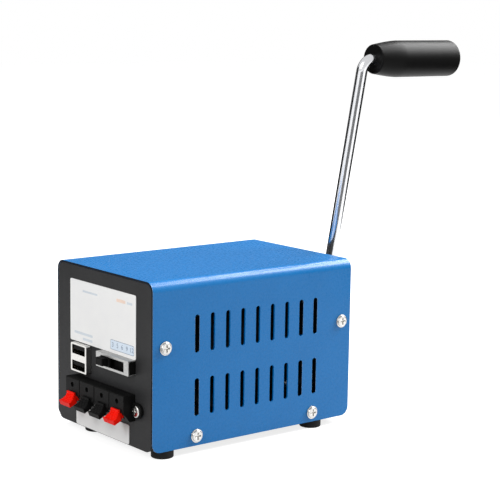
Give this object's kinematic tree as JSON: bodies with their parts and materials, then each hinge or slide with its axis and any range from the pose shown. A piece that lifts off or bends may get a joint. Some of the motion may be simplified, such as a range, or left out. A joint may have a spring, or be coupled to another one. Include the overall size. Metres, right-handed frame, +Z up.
{
  "type": "hand crank generator",
  "caption": "Table-top hand crank generator: blue steel case, long rear crank with free-turning grip, charging ports, voltage selector and lever wire terminal.",
  "frame": {"origin": "on the table under the middle of the case", "axes": "+X to the right of the front panel, +Y to the rear where the crank is, +Z up"},
  "size_m": [0.089, 0.2204, 0.2014],
  "materials": {
    "blue_paint": "semi-gloss powder coat",
    "black_paint": "fine satin powder coat",
    "nickel_screw": "bright nickel plate",
    "zinc_steel": "zinc plated sheet",
    "steel": "machined steel",
    "chrome_rod": "polished",
    "black_rubber": "matte",
    "label_film": "matt film",
    "black_plastic": "moulded",
    "grip_plastic": "smooth semi-gloss",
    "red_plastic": "moulded, glossy",
    "white_plastic": "moulded, glossy",
    "board": "solder mask",
    "bronze": "sintered, oiled",
    "gold_contact": "plated",
    "copper_wire": "enamelled",
    "magnet": "ground ferrite",
    "aluminium": "plain",
    "carbon": "pressed carbon",
    "component_black": "moulded"
  },
  "bodies": {
    "case": {"cover": "blue_paint", "chassis": "black_paint", "cover_screws": "nickel_screw", "feet": "black_rubber", "foot_screws": "nickel_screw", "upper_label": "label_film", "lower_label": "label_film", "port_shell": "nickel_screw", "port_inserts": "white_plastic", "port_contacts": "gold_contact", "selector_frame": "zinc_steel", "selector_body": "black_plastic", "selector_pins": "gold_contact", "terminal_housing": "black_plastic", "terminal_clips": "zinc_steel", "terminal_screws": "nickel_screw", "circuit_board": "board", "board_standoffs": "zinc_steel", "board_screws": "nickel_screw", "capacitors": "component_black", "inductor": "copper_wire", "rectifier": "component_black", "regulator": "component_black", "heat_sink": "aluminium", "gear_bracket": "black_paint", "gear_rear_plate": "black_paint", "gear_pillars": "steel", "gearbox_screws": "nickel_screw", "bracket_screws": "nickel_screw", "crank_bush": "bronze", "panel_bush": "bronze", "layshaft_bushes": "bronze", "motor_can": "black_paint", "motor_end_cap": "black_plastic", "motor_bearings": "bronze", "motor_magnets": "magnet", "motor_brushes": "carbon", "brush_holders": "gold_contact"},
    "crank": {"crank_shaft": "steel", "crank_wheel": "steel", "shaft_clip": "steel", "crank_hub": "chrome_rod", "hub_screws": "steel", "crank_rod": "chrome_rod", "grip_screw": "nickel_screw"},
    "handle_grip": {"grip": "grip_plastic", "grip_cap": "grip_plastic"},
    "layshaft": {"lay_pinion": "steel", "lay_wheel": "steel"},
    "rotor": {"rotor_core": "steel", "rotor_windings": "copper_wire", "commutator": "copper_wire", "motor_shaft": "steel", "motor_pinion": "gold_contact"},
    "selector_slider": {"selector_knob": "black_plastic"},
    "lever_1": {"terminal_lever_1": "red_plastic"},
    "lever_2": {"terminal_lever_2": "black_plastic"},
    "lever_3": {"terminal_lever_3": "black_plastic"},
    "lever_4": {"terminal_lever_4": "red_plastic"}
  },
  "joints": [
    {"name": "crank_spin", "type": "hinge", "parent": "case", "child": "crank", "pos_m": [0, 0.0805, 0.046], "axis": [0, 1, 0], "continuous": true},
    {"name": "grip_spin", "type": "hinge", "parent": "crank", "child": "handle_grip", "pos_m": [0.03015, 0.11, 0.19161], "axis": [0, 1, 0], "continuous": true},
    {"name": "layshaft_spin", "type": "hinge", "parent": "case", "child": "layshaft", "pos_m": [0.01697, 0.042, 0.06297], "axis": [0, 1, 0], "continuous": true},
    {"name": "rotor_spin", "type": "hinge", "parent": "case", "child": "rotor", "pos_m": [0, 0, 0.046], "axis": [0, 1, 0], "continuous": true},
    {"name": "selector_slide", "type": "slide", "parent": "case", "child": "selector_slider", "axis": [1, 0, 0], "range_m": [0, 0.0143]},
    {"name": "lever_1_press", "type": "hinge", "parent": "case", "child": "lever_1", "pos_m": [-0.01795, -0.06695, 0.0214], "axis": [1, 0, 0], "range_deg": [0, 14], "stiffness_Nm_per_rad": 0.05, "springref_deg": -17.19},
    {"name": "lever_2_press", "type": "hinge", "parent": "case", "child": "lever_2", "pos_m": [-0.00445, -0.06695, 0.0214], "axis": [1, 0, 0], "range_deg": [0, 14], "stiffness_Nm_per_rad": 0.05, "springref_deg": -17.19},
    {"name": "lever_3_press", "type": "hinge", "parent": "case", "child": "lever_3", "pos_m": [0.00905, -0.06695, 0.0214], "axis": [1, 0, 0], "range_deg": [0, 14], "stiffness_Nm_per_rad": 0.05, "springref_deg": -17.19},
    {"name": "lever_4_press", "type": "hinge", "parent": "case", "child": "lever_4", "pos_m": [0.02255, -0.06695, 0.0214], "axis": [1, 0, 0], "range_deg": [0, 14], "stiffness_Nm_per_rad": 0.05, "springref_deg": -17.19}
  ],
  "couplings": [
    {"joint": "layshaft_spin", "follows": "crank_spin", "ratio": -4},
    {"joint": "rotor_spin", "follows": "crank_spin", "ratio": 16}
  ]
}
